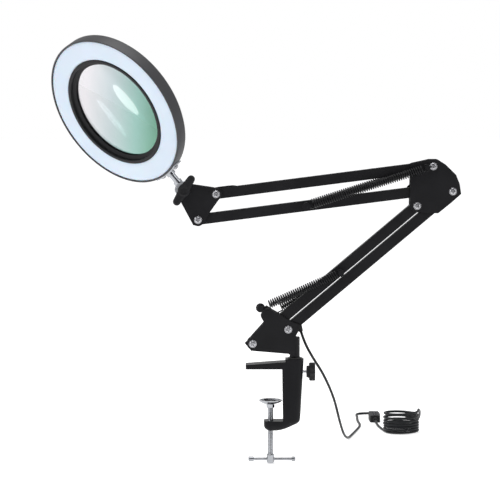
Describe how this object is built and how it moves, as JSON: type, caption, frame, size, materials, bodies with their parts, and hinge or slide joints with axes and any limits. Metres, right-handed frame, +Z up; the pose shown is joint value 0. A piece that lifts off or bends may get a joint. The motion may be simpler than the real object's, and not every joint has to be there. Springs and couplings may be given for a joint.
{
  "type": "magnifying lamp",
  "caption": "Clamp-on magnifying lamp with a round LED ring light on a spring-balanced double-parallelogram arm, a table clamp and a USB lead with an in-line switch.",
  "frame": {"origin": "On the underside of the clamp's upper jaw, on the axis of the clamp screw, where the table top touches.", "axes": "+Z up along the clamp screw and the swivel axis, X along the arms with the elbow at +X and the head at -X, -Y towards the front where the head faces"},
  "size_m": [0.4508, 0.4095, 0.471],
  "materials": {
    "black_paint": "satin black powder coat",
    "black_frame": "satin black powder coat on the clamp casting",
    "spring_steel": "black oxide spring wire",
    "bright_steel": "bright nickel plating",
    "chrome": "polished chrome",
    "black_plastic": "fine-textured black moulding",
    "head_plastic": "soft matt dark grey moulding",
    "diffuser_white": "opal white acrylic, slightly cool",
    "lens_glass": "clear, coated glass with a mint tint",
    "board_green": "white solder mask",
    "led_yellow": "phosphor gel",
    "cord_pvc": "smooth black PVC jacket",
    "button_rubber": "soft-touch black",
    "nylon": "black nylon",
    "plug_tongue_plastic": "white plastic"
  },
  "bodies": {
    "clamp": {"clamp_frame": "black_frame", "swivel_bush": "nylon", "cord_drop": "cord_pvc", "cord_lead": "cord_pvc", "cord_to_coil": "cord_pvc", "cord_coil": "cord_pvc", "cord_to_plug": "cord_pvc", "switch_bottom": "black_plastic", "switch_top": "black_plastic", "switch_reliefs": "black_plastic", "plug_body": "black_plastic", "plug_shell": "bright_steel", "plug_tongue": "plug_tongue_plastic"},
    "base_bracket": {"base_plate_front": "black_paint", "base_plate_back": "black_paint", "base_fasteners": "bright_steel", "base_sleeves": "nylon", "swivel_post": "black_paint", "spring_hanger": "black_paint", "cord_gland": "black_plastic"},
    "lower_right": {"lower_bar_right": "black_paint"},
    "lower_left": {"lower_bar_left": "black_paint", "lower_spring_pin": "black_paint", "lower_spring_front": "spring_steel", "lower_spring_back": "spring_steel"},
    "elbow": {"elbow_plate_front": "black_paint", "elbow_plate_back": "black_paint", "elbow_fasteners": "bright_steel", "elbow_sleeves": "nylon", "spring_anchors": "black_paint"},
    "upper_top": {"upper_bar_top": "black_paint"},
    "upper_bottom": {"upper_bar_bottom": "black_paint", "upper_spring_pin": "black_paint", "upper_spring_front": "spring_steel", "upper_spring_back": "spring_steel"},
    "head_bracket": {"head_plate_front": "black_paint", "head_plate_back": "black_paint", "head_fasteners": "bright_steel", "head_sleeves": "nylon", "wing_bolt": "bright_steel"},
    "wing": {"wing_knob": "black_plastic"},
    "neck": {"neck_eye": "chrome", "neck_rod": "chrome"},
    "head": {"head_housing": "head_plastic", "diffuser": "diffuser_white", "lens_bezel": "head_plastic", "led_board": "board_green", "leds": "led_yellow", "lens": "lens_glass", "head_strap": "chrome", "strap_screws": "bright_steel"},
    "pad": {"swivel_pad": "chrome"},
    "screw": {"clamp_screw": "chrome"},
    "handle": {"tommy_bar": "chrome"},
    "lock": {"lock_knob": "black_plastic", "lock_stud": "bright_steel"},
    "power": {"button_power": "button_rubber"},
    "brighter": {"button_brighter": "button_rubber"},
    "dimmer": {"button_dimmer": "button_rubber"},
    "colour": {"button_colour": "button_rubber"}
  },
  "joints": [
    {"name": "base_swivel", "type": "hinge", "parent": "clamp", "child": "base_bracket", "pos_m": [0.0267, 0, 0.0109], "axis": [0, 0, 1], "range_deg": [-90, 90], "deforming": ["cord_drop"]},
    {"name": "lower_arm_tilt", "type": "hinge", "parent": "base_bracket", "child": "lower_right", "pos_m": [0.01941, 0, 0.0439], "axis": [0, -1, 0], "range_deg": [-1.2, 75]},
    {"name": "lower_left_tilt", "type": "hinge", "parent": "base_bracket", "child": "lower_left", "pos_m": [-0.0195, 0, 0.0281], "axis": [0, -1, 0], "range_deg": [-1.3, 76], "deforming": ["lower_spring_front", "lower_spring_back"]},
    {"name": "elbow_level", "type": "hinge", "parent": "lower_right", "child": "elbow", "pos_m": [0.19891, 0, 0.19558], "axis": [0, -1, 0], "range_deg": [-76, 1.3]},
    {"name": "upper_arm_tilt", "type": "hinge", "parent": "elbow", "child": "upper_top", "pos_m": [0.1774, 0, 0.223], "axis": [0, 1, 0], "range_deg": [-18, 55]},
    {"name": "upper_bottom_tilt", "type": "hinge", "parent": "elbow", "child": "upper_bottom", "pos_m": [0.15761, 0, 0.19474], "axis": [0, 1, 0], "range_deg": [-19, 56], "deforming": ["upper_spring_front", "upper_spring_back"]},
    {"name": "bracket_level", "type": "hinge", "parent": "upper_top", "child": "head_bracket", "pos_m": [-0.05966, 0, 0.19263], "axis": [0, 1, 0], "range_deg": [-56, 19]},
    {"name": "head_tilt", "type": "hinge", "parent": "head_bracket", "child": "neck", "pos_m": [-0.09456, 0, 0.19683], "axis": [0, 1, 0], "range_deg": [-75, 55]},
    {"name": "wing_turn", "type": "hinge", "parent": "head_bracket", "child": "wing", "pos_m": [-0.09456, 0, 0.19683], "axis": [0, 1, 0], "range_deg": [-90, 90]},
    {"name": "head_twist", "type": "hinge", "parent": "neck", "child": "head", "pos_m": [-0.16649, 0, 0.28502], "axis": [0.632, 0, -0.7749], "range_deg": [-130, 130]},
    {"name": "pad_travel", "type": "slide", "parent": "clamp", "child": "pad", "axis": [0, 0, 1], "range_m": [0, 0.025]},
    {"name": "screw_turn", "type": "hinge", "parent": "pad", "child": "screw", "pos_m": [0, 0, -0.09], "axis": [0, 0, 1], "range_deg": [-30, 6260]},
    {"name": "handle_slide", "type": "slide", "parent": "screw", "child": "handle", "axis": [1, 0, 0], "range_m": [-0.018, 0.012]},
    {"name": "lock_turn", "type": "hinge", "parent": "clamp", "child": "lock", "pos_m": [0.042, 0, -0.0037], "axis": [1, 0, 0], "range_deg": [-180, 180]},
    {"name": "power_press", "type": "slide", "parent": "clamp", "child": "power", "axis": [0, 0, -1], "range_m": [0, 0.0006], "stiffness_N_per_m": 400, "springref_m": -0.0003},
    {"name": "brighter_press", "type": "slide", "parent": "clamp", "child": "brighter", "axis": [0, 0, -1], "range_m": [0, 0.0006], "stiffness_N_per_m": 400, "springref_m": -0.0003},
    {"name": "dimmer_press", "type": "slide", "parent": "clamp", "child": "dimmer", "axis": [0, 0, -1], "range_m": [0, 0.0006], "stiffness_N_per_m": 400, "springref_m": -0.0003},
    {"name": "colour_press", "type": "slide", "parent": "clamp", "child": "colour", "axis": [0, 0, -1], "range_m": [0, 0.0006], "stiffness_N_per_m": 400, "springref_m": -0.0003}
  ],
  "couplings": [
    {"joint": "lower_left_tilt", "follows": "lower_arm_tilt", "ratio": 1},
    {"joint": "elbow_level", "follows": "lower_arm_tilt", "ratio": -1},
    {"joint": "upper_bottom_tilt", "follows": "upper_arm_tilt", "ratio": 1},
    {"joint": "bracket_level", "follows": "upper_arm_tilt", "ratio": -1},
    {"joint": "screw_turn", "follows": "pad_travel", "rad_per_m": 4188.8}
  ]
}
